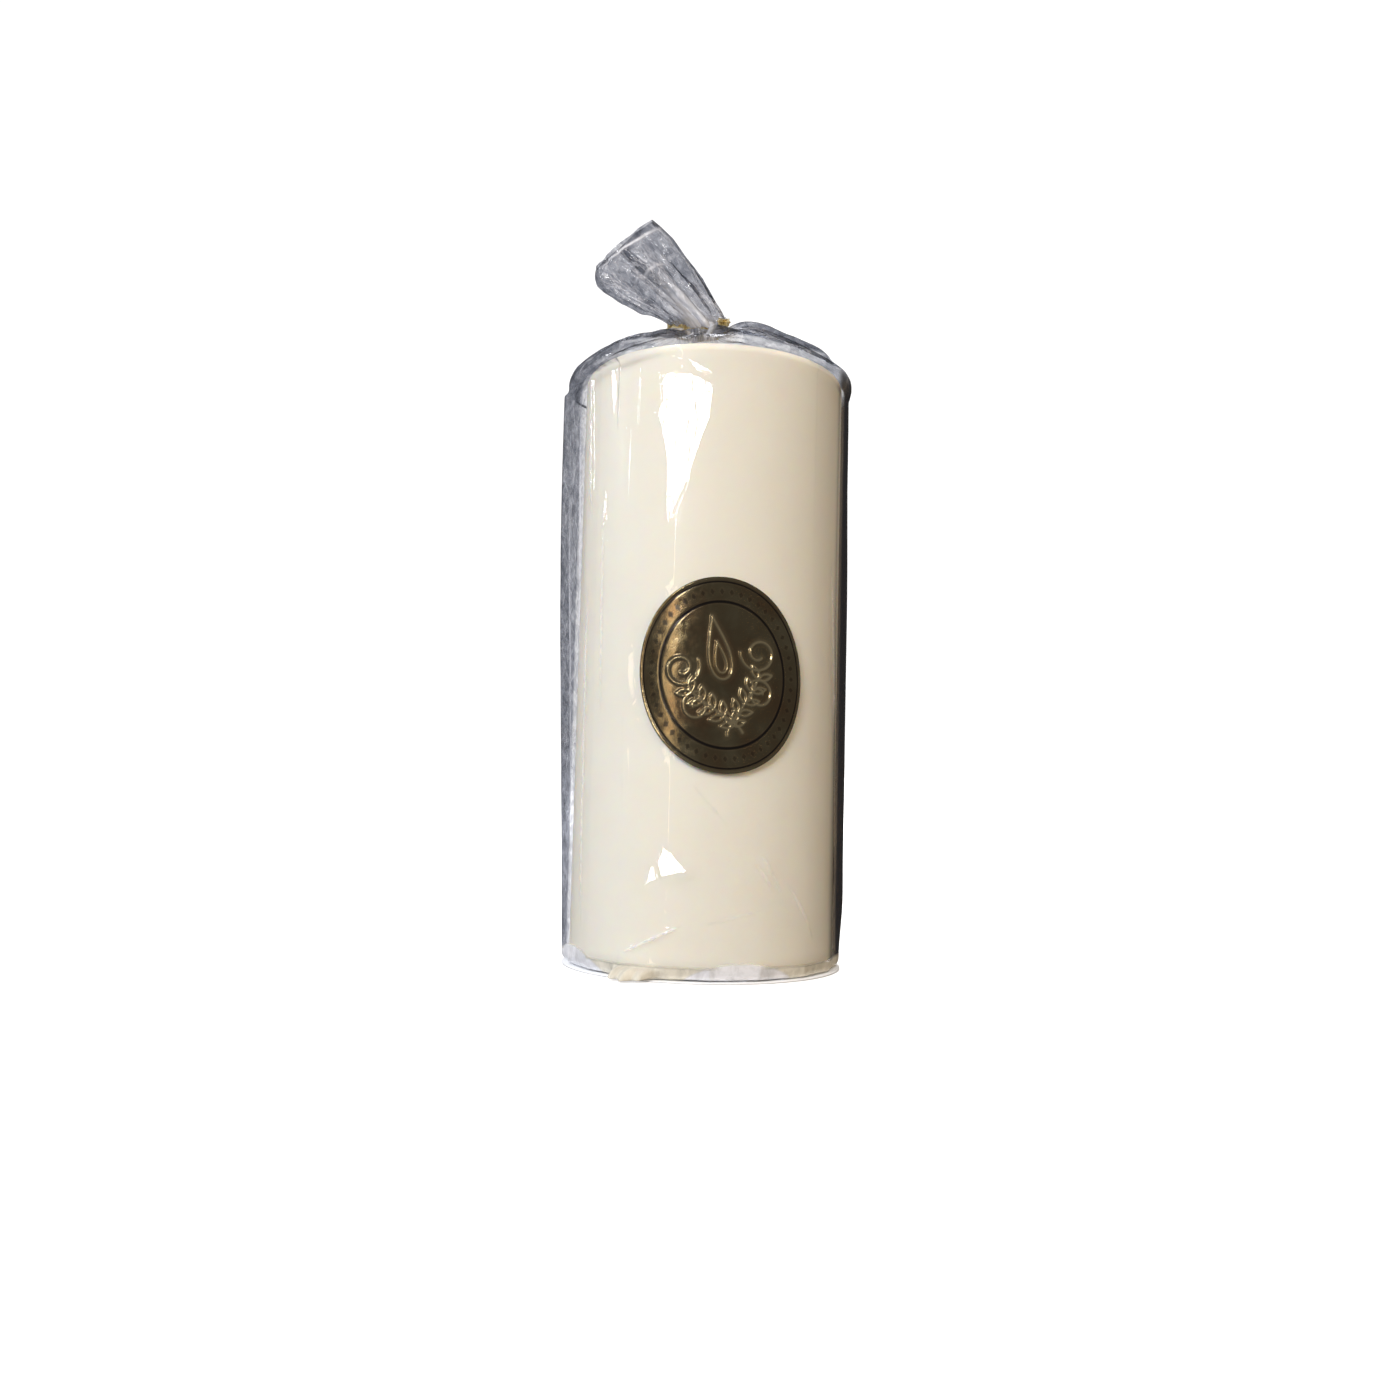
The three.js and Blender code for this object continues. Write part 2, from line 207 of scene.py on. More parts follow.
class Shader:
    """A material's node tree, with one short call for each node and its links."""

    def __init__(self, name):
        self.material = bpy.data.materials.new(name)
        self.material.use_nodes = True
        self.tree = self.material.node_tree
        self.tree.nodes.clear()
        self.output = self.add("OutputMaterial")

    def add(self, kind, **settings):
        node = self.tree.nodes.new("ShaderNode" + kind)
        for key, value in settings.items():
            setattr(node, key, value)
        return node

    def put(self, value, socket):
        """Gives a socket a number, a colour or another node's output."""
        if not isinstance(value, (int, float, tuple)):
            self.tree.links.new(value, socket)
        elif socket.type == "RGBA":
            socket.default_value = (*value, 1)
        else:
            socket.default_value = value

    def fill(self, node, output, **values):
        """Gives inputs their values, by their names with _ for a space, and returns an output."""
        for key, value in values.items():
            self.put(value, node.inputs[key.replace("_", " ")])
        return node.outputs[output]

    def place(self, scale=(1, 1, 1)):
        """The point's place in the object, in millimetres, scaled."""
        place = self.add("TexCoord").outputs["Object"]
        return self.fill(self.add("Mapping"), "Vector", Vector=place, Scale=tuple(k / MM for k in scale))

    def attribute(self, name):
        return self.add("Attribute", attribute_name=name).outputs["Fac"]

    def noise(self, vector, scale, detail=3.0, roughness=0.5, distortion=0.0):
        return self.fill(
            self.add("TexNoise"), "Fac",
            Vector=vector, Scale=scale, Detail=detail, Roughness=roughness, Distortion=distortion)

    def cracks(self, vector, scale):
        """The distance to the nearest edge of random cells."""
        cells = self.add("TexVoronoi", feature="DISTANCE_TO_EDGE")
        return self.fill(cells, "Distance", Vector=vector, Scale=scale)

    def math(self, operation, *values):
        node = self.add("Math", operation=operation)
        for value, socket in zip(values, node.inputs):
            self.put(value, socket)
        return node.outputs["Value"]

    def plus(self, first, second):
        return self.math("ADD", first, second)

    def times(self, first, second):
        return self.math("MULTIPLY", first, second)

    def span(self, value, low, high, to_low, to_high):
        return self.fill(
            self.add("MapRange"), "Result",
            Value=value, From_Min=low, From_Max=high, To_Min=to_low, To_Max=to_high)

    def ramp(self, value, stops):
        node = self.add("ValToRGB")
        elements = node.color_ramp.elements
        while len(elements) < len(stops):
            elements.new(1.0)
        for element, (position, color) in zip(elements, stops):
            element.position = position
            element.color = (*color, 1)
        return self.fill(node, "Color", Fac=value)

    def mix(self, factor, first, second):
        node = self.add("Mix", data_type="RGBA")
        for value, k in zip((factor, first, second), (0, 6, 7)):
            self.put(value, node.inputs[k])
        return node.outputs[2]

    def bump(self, height, distance_mm, strength=1.0):
        return self.fill(
            self.add("Bump"), "Normal", Height=height, Distance=distance_mm * MM, Strength=strength)

    def bsdf(self, kind, **values):
        return self.fill(self.add("Bsdf" + kind), "BSDF", **values)

    def layer(self, share, under, over):
        node = self.add("MixShader")
        for value, socket in zip((share, under, over), node.inputs):
            self.put(value, socket)
        return node.outputs["Shader"]

    def done(self, surface):
        self.put(surface, self.output.inputs["Surface"])
        return self.material

    def principled(self, **values):
        return self.done(self.bsdf("Principled", **values))


# ---- materials

def stage_material():
    shader = Shader("pale_sweep")
    grain = shader.noise(shader.place(), 0.02, 4)
    color = shader.ramp(grain, [(0.3, (0.82, 0.82, 0.82)), (0.7, (0.86, 0.86, 0.86))])
    return shader.principled(
        Base_Color=color, Roughness=0.9, Emission_Color=(1.0, 1.0, 1.0), Emission_Strength=0.5)


def wax_material(name, light, shade, roughness):
    """Ivory wax: faint mottling and slow dips in the surface, with light carried under it."""
    shader = Shader(name)
    place = shader.place()
    mottle = shader.noise(place, 0.07, 5, 0.6)
    cloud = shader.noise(shader.place((1, 1, 0.35)), 0.02, 2)
    tone = shader.plus(shader.times(mottle, 0.5), shader.times(cloud, 0.5))
    color = shader.ramp(tone, [(0.32, shade), (0.66, light)])
    gloss = shader.span(shader.noise(place, 0.25, 4), 0.3, 0.7, roughness - 0.06, roughness + 0.08)
    dips = shader.plus(shader.noise(place, 0.09, 3), shader.times(shader.noise(place, 1.4, 2), 0.3))
    return shader.principled(
        Base_Color=color, Roughness=gloss, Subsurface_Weight=0.4, Subsurface_Radius=(7.0, 3.4, 1.5),
        Subsurface_Scale=MM, Coat_Weight=0.05, Normal=shader.bump(dips, 0.05))


def film_wrinkles(shader):
    """Soft crinkles, and their height with sharp folds across them."""
    folds = shader.cracks(shader.place((1, 1, 0.6)), 0.32)
    sharp = shader.span(folds, 0.0, 0.12, 1.0, 0.0)
    soft = shader.noise(shader.place(), 0.35, 4, 0.6, 0.6)
    return soft, shader.plus(shader.times(sharp, 0.35), soft)


def film_streaks(shader):
    """Streaks along the sheet, and the thin lines where they fold."""
    along = shader.times(shader.attribute("length"), 0.22)
    place = shader.fill(shader.add("CombineXYZ"), "Vector", X=shader.attribute("round"), Y=along)
    streak = shader.noise(place, 0.75, 5, 0.62, 0.5)
    fold = shader.math("ABSOLUTE", shader.math("SUBTRACT", streak, 0.5))
    line = shader.span(fold, 0.0, 0.04, 1.0, 0.0)
    patch = shader.span(shader.noise(place, 0.16, 2), 0.42, 0.62, 0.0, 1.0)
    return streak, shader.times(line, patch)


def film_tint(shader, facing, soft):
    """The colour that the film lets through: a grey painted shade for the dark surroundings seen through
    it, darker edge on, and a brown painted shadow where shadow is 1.
    """
    seen_edge_on = shader.span(facing, 0.2, 0.5, 0.0, 1.0)
    beside = shader.times(shader.attribute("side_smoke"), seen_edge_on)
    slant = shader.span(facing, 0.0, 1.0, 0.7, 1.5)
    cloud = shader.span(soft, 0.36, 0.66, 0.65, 1.3)
    depth = shader.times(shader.plus(shader.attribute("smoke"), beside), shader.times(slant, cloud))
    painted_shade_color = shader.ramp(depth, [
        (0.0, (1.0, 1.0, 1.0)),
        (0.5, (0.47, 0.482, 0.52)),
        (1.0, (0.22, 0.23, 0.26)),
    ])
    return shader.mix(shader.times(shader.attribute("shadow"), seen_edge_on), painted_shade_color, (0.07, 0.05, 0.03))


def film_material(name, crinkle):
    """Clear film, bright only where it mirrors a light, with a grey painted shade where it stands off
    the candle.

    Attributes of the mesh steer it: smoke tints it grey, a painted shade for the dark surroundings
    seen through it, and side_smoke does the same where it is seen edge on, and so does shadow, as a
    brown painted shadow; crumple roughs it up; milk lays a pale layer over it, ivory where
    pale is 0 for a painted reflection of the wax, and white where pale is 1 for painted highlights and
    white patches; frost paints white glints on the streaks that run from the tie, and crease paints a
    white glint on a fold. round and length are the distances over the sheet, in millimetres.
    """
    shader = Shader(name)
    soft, height = film_wrinkles(shader)
    normal = shader.bump(height, 0.6, shader.span(shader.attribute("crumple"), 0.0, 1.0, 0.04, crinkle))
    facing = shader.fill(shader.add("LayerWeight"), "Facing", Blend=0.5, Normal=normal)

    clear = shader.bsdf("Transparent", Color=film_tint(shader, facing, soft))
    # A pale layer over the clear film: ivory where pale is 0, a painted reflection of the wax, and white
    # where pale is 1, painted highlights and white patches.
    milk_color = shader.mix(shader.attribute("pale"), (0.83, 0.8, 0.7), (0.78, 0.8, 0.86))
    milk = shader.bsdf("Diffuse", Color=milk_color)
    streak, line = film_streaks(shader)
    pale_share = shader.times(shader.attribute("milk"), shader.span(streak, 0.35, 0.6, 0.75, 1.1))
    surface = shader.layer(pale_share, clear, milk)

    # Painted highlights: a white layer on the streak lines and along the creases and folds.
    frost = shader.bsdf("Diffuse", Color=(0.86, 0.88, 0.96))
    white = shader.times(shader.attribute("frost"), line)
    broken = shader.times(shader.attribute("crease"), shader.span(soft, 0.4, 0.6, 0.3, 1.0))
    surface = shader.layer(shader.math("MAXIMUM", white, broken), surface, frost)

    gloss = shader.bsdf("Anisotropic", Color=(1.0, 1.0, 1.0), Roughness=0.06, Normal=normal)
    grazing = shader.math("POWER", facing, 4.0)
    mirror = shader.span(grazing, 0.0, 1.0, 0.06, 0.3)
    return shader.done(shader.layer(mirror, surface, gloss))


def foil_material():
    """Bronze foil: printed dark lines where the attribute ink_and_groove_shade is 1, a painted shade
    beside the raised lines, and a painted gold highlight on the relief.
    """
    shader = Shader("bronze_foil_embossed")
    place = shader.place()
    foil = shader.ramp(shader.noise(place, 0.12, 3, 0.55, 0.4), [
        (0.32, (0.19, 0.125, 0.065)),
        (0.5, (0.2, 0.155, 0.085)),
        (0.7, (0.26, 0.215, 0.125)),
    ])
    # Painted highlight: the raised relief and rim coloured bright gold.
    foil = shader.mix(shader.attribute("relief"), foil, (0.75, 0.6, 0.34))
    color = shader.mix(shader.attribute("ink_and_groove_shade"), foil, (0.008, 0.006, 0.005))
    gloss = shader.span(shader.noise(place, 0.9, 4), 0.3, 0.7, 0.13, 0.24)
    ripple = shader.plus(shader.noise(place, 0.16, 2), shader.times(shader.noise(place, 3, 2), 0.06))
    metal = shader.math("SUBTRACT", 0.93, shader.times(shader.attribute("ink_and_groove_shade"), 0.45))
    return shader.principled(
        Base_Color=color, Metallic=metal, Roughness=gloss, Normal=shader.bump(ripple, 0.5, 0.5))


def gold_material():
    shader = Shader("gold_tie_foil")
    place = shader.place()
    tone = shader.noise(place, 0.8, 3)
    color = shader.ramp(tone, [
        (0.3, (0.6, 0.42, 0.14)),
        (0.55, (0.88, 0.72, 0.36)),
        (0.75, (0.97, 0.9, 0.66)),
    ])
    return shader.principled(
        Base_Color=color, Metallic=0.7, Roughness=shader.span(tone, 0.3, 0.7, 0.2, 0.4),
        Normal=shader.bump(shader.cracks(place, 1.4), 0.25, 0.8))


def steel_material(name, color, roughness, streak):
    shader = Shader(name)
    lines = shader.noise(shader.place(streak), 1.0, 4)
    tone = shader.ramp(lines, [(0.3, tuple(0.75 * c for c in color)), (0.7, color)])
    return shader.principled(
        Base_Color=tone, Metallic=1.0,
        Roughness=shader.span(lines, 0.3, 0.7, roughness - 0.08, roughness + 0.1),
        Normal=shader.bump(lines, 0.02))


def cotton_material():
    shader = Shader("waxed_cotton")
    fibres = shader.noise(shader.place((1, 1, 0.25)), 5.0, 4)
    color = shader.ramp(fibres, [(0.3, (0.66, 0.6, 0.5)), (0.7, (0.86, 0.82, 0.74))])
    return shader.principled(
        Base_Color=color, Roughness=0.8, Sheen_Weight=0.2, Normal=shader.bump(fibres, 0.12))


def paper_material():
    shader = Shader("white_label_paper")
    place = shader.place()
    fibres = shader.noise(place, 2.2, 6, 0.65)
    color = shader.ramp(fibres, [(0.3, (0.76, 0.79, 0.83)), (0.7, (0.86, 0.88, 0.91))])
    return shader.principled(
        Base_Color=color, Roughness=shader.span(fibres, 0.3, 0.7, 0.55, 0.75),
        Normal=shader.bump(fibres, 0.05))


# ---- mesh helpers

def ease(value, low, high):
    """From 0 at low to 1 at high, with a soft start and end."""
    t = np.clip((value - low) / (high - low), 0, 1)
    return t * t * (3 - 2 * t)


def grid_faces(rows, columns, wrap):
    index = np.arange(rows * columns).reshape(rows, columns)
    left = index if wrap else index[:, :-1]
    right = np.roll(index, -1, axis=1) if wrap else index[:, 1:]
    return np.stack([left[:-1], right[:-1], right[1:], left[1:]], axis=-1).reshape(-1, 4)


def tube_faces(rows, columns, inside_out=False):
    """The faces of a tube of points with a lid at each end."""
    index = np.arange(rows * columns).reshape(rows, columns)
    faces = grid_faces(rows, columns, True).tolist()
    faces += [index[0][::-1].tolist(), index[-1].tolist()]
    return [face[::-1] for face in faces] if inside_out else faces


def whole_turn(columns):
    return np.linspace(0, TURN, columns, endpoint=False)


def ring_points(angle, radius, z):
    return np.stack([radius * np.cos(angle), radius * np.sin(angle), z + 0 * angle], axis=-1)


def unit(vectors):
    return vectors / np.linalg.norm(vectors, axis=-1, keepdims=True)


def wrapped(value, period=TURN):
    """value moved by whole periods to within half a period of 0."""
    return (value + period / 2) % period - period / 2


def bell(value, middle, width, power=2):
    """1 at middle, dying out on both sides within about twice the width."""
    return np.exp(-(((value - middle) / width) ** power))


def make_piece(name, points, faces, material, body, attributes=()):
    """A smooth mesh piece that rides on a body. points are in millimetres."""
    mesh = bpy.data.meshes.new(name)
    mesh.from_pydata((points.reshape(-1, 3) * MM).tolist(), [], faces)
    mesh.polygons.foreach_set("use_smooth", [True] * len(mesh.polygons))
    for key, values in attributes:
        layer = mesh.attributes.new(key, "FLOAT", "POINT")
        layer.data.foreach_set("value", np.asarray(values, np.float32).ravel())
    mesh.materials.append(material)
    piece = bpy.data.objects.new(name, mesh)
    bpy.context.collection.objects.link(piece)
    if body:
        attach(piece, body)
    return piece


def surface_normals(points):
    """Unit normals of a grid of points whose columns run counter-clockwise and rows upwards."""
    across = np.gradient(points, axis=1)
    along = np.gradient(points, axis=0)
    normals = np.cross(across, along)
    return normals / np.maximum(np.linalg.norm(normals, axis=2, keepdims=True), 1e-9)


def segment_distance(x, y, start, end):
    (x0, y0), (x1, y1) = start, end
    length = (x1 - x0) ** 2 + (y1 - y0) ** 2
    t = np.clip(((x - x0) * (x1 - x0) + (y - y0) * (y1 - y0)) / length, 0, 1)
    return np.hypot(x - x0 - t * (x1 - x0), y - y0 - t * (y1 - y0))


def spline(controls, t):
    """Smooth curves through controls, an array whose first axis is the point number, at each t."""
    controls = np.asarray(controls, float)
    count = len(controls)
    u = np.clip(t, 0, 1) * (count - 1)
    i = np.clip(np.floor(u).astype(int), 0, count - 2)
    f = (u - i).reshape((-1,) + (1,) * (controls.ndim - 1))
    before = controls[np.maximum(i - 1, 0)]
    after = controls[np.minimum(i + 2, count - 1)]
    p, q = controls[i], controls[i + 1]
    return 0.5 * (
        2 * p + (q - before) * f + (2 * before - 5 * p + 4 * q - after) * f**2
        + (3 * p - before - 3 * q + after) * f**3
    )


def triangle_wave(phase):
    """From -1 to 1 and back once in each unit of phase."""
    return 4 * np.abs(phase - np.floor(phase + 0.5)) - 1


def wander(angle, rng, terms=5):
    """A smooth closed random curve of angle, about -1 to 1."""
    total = np.zeros_like(angle)
    for k in range(1, terms + 1):
        total += np.sin(k * angle + rng.uniform(0, TURN)) / k
    return total / 1.6


# ---- candle

def undulated(points, angle):
    """The wax's outside with slow waves, a few hundredths of a millimetre deep."""
    rng = default_rng(3)
    outside = ease(np.hypot(points[..., 0], points[..., 1]), CORE_RADIUS + 0.4, WAX_RADIUS - 0.4)
    wave = wander(angle, rng) * 0.05 + wander(angle * 2, rng) * np.sin(points[..., 2] / 17) * 0.04
    points[..., :2] *= (1 - outside * (0.06 + wave) / WAX_RADIUS)[..., None]
    return points


def make_wax():
    """The coat: a closed outline of (radius, height) turned round the candle's axis."""
    wall = [(WAX_RADIUS, z) for z in np.linspace(WAX_BASE + 0.8, WAX_TOP - WAX_SHOULDER, 90)]
    shoulder = [
        (WAX_RADIUS - WAX_SHOULDER * (1 - math.cos(a)), WAX_TOP - WAX_SHOULDER * (1 - math.sin(a)))
        for a in np.linspace(0.1, math.pi / 2, 10)
    ]
    top = [(r, WAX_TOP) for r in np.linspace(WAX_RADIUS - WAX_SHOULDER - 2, WICK_BORE + 0.5, 12)]
    outline = [
        (CORE_RADIUS, WAX_BASE), (WAX_RADIUS - 0.8, WAX_BASE), (WAX_RADIUS - 0.2, WAX_BASE + 0.2),
        *wall, *shoulder, *top, (WICK_BORE, WAX_TOP - 0.4), (WICK_BORE, WAX_TOP - COAT_THICKNESS),
        (CORE_RADIUS, WAX_TOP - COAT_THICKNESS),
    ]
    rows, columns = len(outline), 176
    angle = whole_turn(columns)
    radius, height = np.array(outline).T[..., None]
    points = undulated(ring_points(angle, radius, height), angle)
    faces = (grid_faces(rows + 1, columns, True) % (rows * columns)).tolist()
    material = wax_material("ivory_wax_coat", (0.88, 0.797, 0.71), (0.85, 0.763, 0.665), 0.46)
    coat = make_piece("ivory_wax", points, faces, material, "root")
    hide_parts("wax_coat")


def make_wick():
    """A slightly flat braid, bent a little at its free end."""
    rows, columns = 300, 20
    z = np.linspace(wick_low[2] + 0.05, wick_high[2], rows)[:, None]
    angle = whole_turn(columns)[None]
    plait = np.abs(np.sin(1.5 * angle + z * 1.1)) + np.abs(np.sin(1.5 * angle - z * 1.1))
    radius = 0.92 + 0.14 * plait
    radius = radius * (1 - 0.5 * ease(z, wick_high[2] - 0.8, wick_high[2]))
    lean = np.clip(z - WAX_TOP, 0, None)
    x = radius * np.cos(angle) * 1.05 + 0.035 * lean**2
    y = radius * np.sin(angle) * 0.9 - 0.02 * lean**2
    points = np.stack([x, y, z - 0.012 * lean**2 + 0 * angle], axis=-1)
    faces = tube_faces(rows, columns)
    wick = make_piece("braided_wick", points, faces, cotton_material(), "root")
    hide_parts("wick")


def dress_inner_pieces():
    """The CAD nodes that keep their own meshes."""
    looks = {
        "wax_core": wax_material("ivory_wax_core", (0.92, 0.84, 0.7), (0.88, 0.79, 0.64), 0.6),
        "wick_tab": steel_material("stamped_tinplate", (0.62, 0.62, 0.63), 0.34, (0.6, 3.0, 3.0)),
        "tie_wire": steel_material("soft_tie_wire", (0.4, 0.4, 0.42), 0.4, (2.0, 2.0, 2.0)),
    }
    for node, material in looks.items():
        for slot in bpy.data.objects[node].material_slots:
            slot.material = material


# ---- the film bag round the candle

def crease_reach(angle, centre, reach):
    """The film's radius where it runs from the round wax, along tangents, to a standing crease."""
    tangent = np.arccos(FILM_RADIUS / (FILM_RADIUS + reach))
    off = np.abs(wrapped(angle - centre))
    return FILM_RADIUS / np.cos(np.maximum(0, tangent - off))


def polygon_reach(angle, z, rng):
    """The tight film is many upright flats rather than a true round, each close to the wax."""
    count = 18
    edge = FRONT + facing_light(WINDOW_PLACE, -8, 128)[0]
    radius = np.full(np.broadcast(angle, z).shape, 1e3)
    for k in range(count):
        middle = edge + TURN * (k + 0.5 + rng.uniform(-0.14, 0.14)) / count
        drift = math.radians(1.6) * np.sin(z / rng.uniform(24, 46) + rng.uniform(0, TURN))
        off = wrapped(angle - middle - drift)
        radius = np.minimum(radius, FILM_RADIUS / np.cos(np.clip(off, -1, 1)))
    return np.minimum(radius, FILM_RADIUS + 0.9)


def tents(angle, z, rng, count, z_range, size, height):
    """Low four-sided tents at random places, whose flat sides catch the light at their own angles."""
    along = angle * FILM_RADIUS
    around = TURN * FILM_RADIUS
    total = np.zeros(np.broadcast(angle, z).shape)
    for _ in range(count):
        across = wrapped(along - rng.uniform(0, around), around)
        up = z - rng.uniform(*z_range)
        turn = rng.uniform(-0.5, 0.5)
        a = (across * math.cos(turn) + up * math.sin(turn)) / (rng.uniform(*size) * 0.55)
        b = (up * math.cos(turn) - across * math.sin(turn)) / (rng.uniform(*size) * 1.6)
        total = np.maximum(total, rng.uniform(0.4, 1) * height * (1 - np.abs(a) - np.abs(b)))
    return total


def ridge(angle, z, start, end, height, width):
    """A sharp crease between two (x across the front, z) points, tapered at both ends."""
    x = (angle - FRONT) * FILM_RADIUS
    (x0, z0), (x1, z1) = start, end
    length = math.hypot(x1 - x0, z1 - z0)
    t = ((x - x0) * (x1 - x0) + (z - z0) * (z1 - z0)) / length**2
    off = np.abs((x - x0) * (z1 - z0) - (z - z0) * (x1 - x0)) / length
    taper = np.clip(np.minimum(t, 1 - t) * 5, 0, 1)
    return height * taper * np.clip(1 - off / width, 0, 1)


def facing_light(light, x, z):
    """(azimuth from the front, tilt) of a patch of film that mirrors a light to the camera."""
    azimuth = x / FILM_RADIUS
    place = np.array([FILM_RADIUS * math.sin(azimuth), -FILM_RADIUS * math.cos(azimuth), z])
    half = unit(unit(CAMERA_PLACE - place) + unit(light - place))
    return math.atan2(half[0], -half[1]), math.asin(half[2])


def mirror_patch(radius, angle, z, light, outline):
    """Pulls the film flat inside an outline of (x, z) corners, turned so that it mirrors a light."""
    corners = np.array(outline, float)
    x = (angle - FRONT) * FILM_RADIUS
    middle = corners.mean(axis=0)
    inside = np.zeros(radius.shape, bool)
    nearest = np.full(radius.shape, 1e3)
    for start, end in zip(corners, np.roll(corners, -1, axis=0)):
        (x0, z0), (x1, z1) = start, end
        across = (z0 > z) != (z1 > z)
        slope = (x1 - x0) / (z1 - z0) if z1 != z0 else 0.0
        inside ^= across & (x < x0 + (z - z0) * slope)
        nearest = np.minimum(nearest, segment_distance(x, z, start, end))
    depth = np.where(inside, nearest, -nearest)
    azimuth, tilt = facing_light(light, *middle)
    flat = FILM_RADIUS / np.cos(np.clip(angle - FRONT - azimuth, -1.2, 1.2))
    flat = flat - math.tan(tilt) * (z - middle[1])
    flat += FILM_RADIUS - flat[inside].min(initial=FILM_RADIUS)
    return radius + (flat - radius) * ease(depth, -0.45, 0.15)


# The film's flats: a light, and the outlines of the patches that are turned to mirror it. Nothing bright
# is at the dim place, so its patch keeps the film beside the side window's glint clear.
DIM_PLACE = np.array([-1100.0, -700.0, 500.0])
MIRRORS = [
    (DIM_PLACE, [
        [(-25.2, 151.0), (-19.2, 151.0), (-19.6, 133.0), (-25.6, 133.0)],
    ]),
    (WINDOW_PLACE, [
        [(-13.6, 145.6), (-5.3, 144.8), (-0.1, 142.3), (-0.9, 133.2), (-3.4, 126.6), (-6.1, 118.6),
         (-10.2, 108.8), (-11.1, 113.9), (-11.5, 124.9), (-13.5, 132.5), (-14.4, 135.8), (-12.9, 138.6)],
        [(-10.7, 149.2), (-5.0, 147.8), (-1.1, 145.9), (0.2, 143.4), (-3.4, 144.9), (-6.8, 147.4)],
        [(-9.5, 31.5), (-2.2, 25.5), (-9.8, 23.8), (-11.3, 27.7)],
        [(-12.7, 27.1), (-10.3, 23.6), (-14.0, 21.5), (-13.4, 24.6)],
    ]),
    (SIDE_WINDOW_PLACE, [
        [(-29.6, 149.0), (-28.0, 149.0), (-26.6, 144.5), (-26.8, 139.8), (-28.2, 137.2), (-28.8, 141.0)],
    ]),
]

# (start, end, height, width) of the creases that stand out: places are (x round the front, z).
RIDGES = [
    ((-19.4, 6.2), (-4.6, 13.2), 0.5, 1.0),
    ((0.5, 13.5), (14.0, 17.0), 0.12, 1.4),
    ((13.5, 30.0), (19.5, 21.0), 0.25, 1.0),
    ((12.0, 28.0), (17.5, 21.0), 0.2, 0.9),
    ((21.0, 24.0), (31.0, 9.0), 0.2, 1.4),
    ((-40.0, 158.0), (-36.5, 112.0), 0.9, 1.7),
    ((-45.0, 150.0), (-41.0, 70.0), 0.8, 1.8),
    ((-50.0, 125.0), (-45.0, 18.0), 0.8, 2.0),
    ((-38.0, 96.0), (-36.0, 10.0), 0.6, 1.4),
    ((-31.0, 120.0), (-29.5, 62.0), 0.3, 1.3),
    ((-3.0, 46.0), (6.0, 36.0), 0.1, 1.4),
    ((37.0, 104.0), (40.0, 60.0), 0.4, 1.6),
]


def label_share(angle, z):
    """0 under the foil label, which presses the film flat, and 1 away from it."""
    along = (angle - FRONT - LABEL_AZIMUTH) * LABEL_RADIUS
    up = z - LABEL_Z
    a = along * math.cos(LABEL_TILT) + up * math.sin(LABEL_TILT)
    b = -along * math.sin(LABEL_TILT) + up * math.cos(LABEL_TILT)
    reach = np.hypot(a / LABEL_HALF_WIDTH, b / LABEL_HALF_HEIGHT)
    return ease(reach, 1.02, 1.2)


def wall_radius(angle, z):
    """The film's radius over the candle's side."""
    radius = polygon_reach(angle, z, default_rng(11))
    radius = radius + tents(angle, z, default_rng(5), 46, (6, 150), (8, 22), 0.42)
    for start, end, height, width in RIDGES:
        radius = radius + ridge(angle, z, start, end, height, width)
    for light, outlines in MIRRORS:
        for outline in outlines:
            radius = mirror_patch(radius, angle, z, light, outline)
    radius = FILM_RADIUS + (radius - FILM_RADIUS) * label_share(angle, z)
    left = 1.2 + 4.6 * ease(z, -35, 140)
    right = 1.4 + 0.8 * ease(z, 2, 20) - 0.6 * ease(z, 90, 140)
    wide = np.maximum(crease_reach(angle, math.pi, left), crease_reach(angle, 0, right))
    return np.maximum(radius, wide + 0.35 * (radius - FILM_RADIUS))


def film_angles(columns, crowding=0.07):
    """Once round from the back and on by the width of the lap, in steps that crowd at the front."""
    t = np.linspace(0, 1, columns)
    t = t + crowding * np.sin(TURN * t)
    return math.pi / 2 + t * (TURN + LAP / FILM_RADIUS)


FOOT_TOP = 3.9
FOOT_ROUNDING = 0.9
EAR_AZIMUTH = FRONT - math.radians(27)
EAR_HALF_WIDTH = math.radians(8)
EAR_REACH = 7.2


def corner_ear(angle):
    """1 where a corner of the flat bag sticks out along the floor at the front left, 0 elsewhere."""
    return bell(angle, EAR_AZIMUTH, EAR_HALF_WIDTH, 4)


def bottom_rows(angle):
    """From the flat seal under the candle out to its round foot."""
    t = np.linspace(0, 1, 12)[:, None]
    foot = wall_radius(angle[None], FOOT_TOP) - FOOT_ROUNDING
    x = (27 + (foot - 27) * t) * np.cos(angle)
    y = (0.5 + (foot - 0.5) * t**1.2) * np.sin(angle)
    folds = 0.12 * triangle_wave(angle * 14 / TURN)[None] * t
    z = 0.6 + 0.1 * ease(t, 0, 0.9) + folds
    return np.stack([x, y, z + (0.5 - z) * corner_ear(angle)[None] * ease(t, 0.5, 1)], axis=-1)


def foot_rows(angle):
    """The rounded foot, and the ear."""
    ear = corner_ear(angle)[None]
    t = np.linspace(0.06, 1, 16)[:, None]
    turn = t * math.pi / 2
    foot = wall_radius(angle[None], FOOT_TOP)
    crumple = 0.8 + 0.2 * triangle_wave(angle * 60 / TURN)[None]
    radius = foot - FOOT_ROUNDING * (1 - np.sin(turn))
    radius = radius + ear * EAR_REACH * crumple * np.sin(math.pi * t) ** 0.8
    z = 3.0 - 2.3 * np.cos(turn)
    lip = 0.45 + 2.5 * ease(t, 0.45, 1.0)
    return ring_points(angle, radius, z + (lip - z) * ear)


def body_rows(angle):
    z = FOOT_TOP + (149.0 - FOOT_TOP) * np.linspace(0, 1, 290)[:, None] ** 1.12
    radius = wall_radius(angle[None], z)
    radius = radius + corner_ear(angle)[None] * 0.8 * np.exp(-((z - 3) / 2.6))
    return ring_points(angle, radius, z)


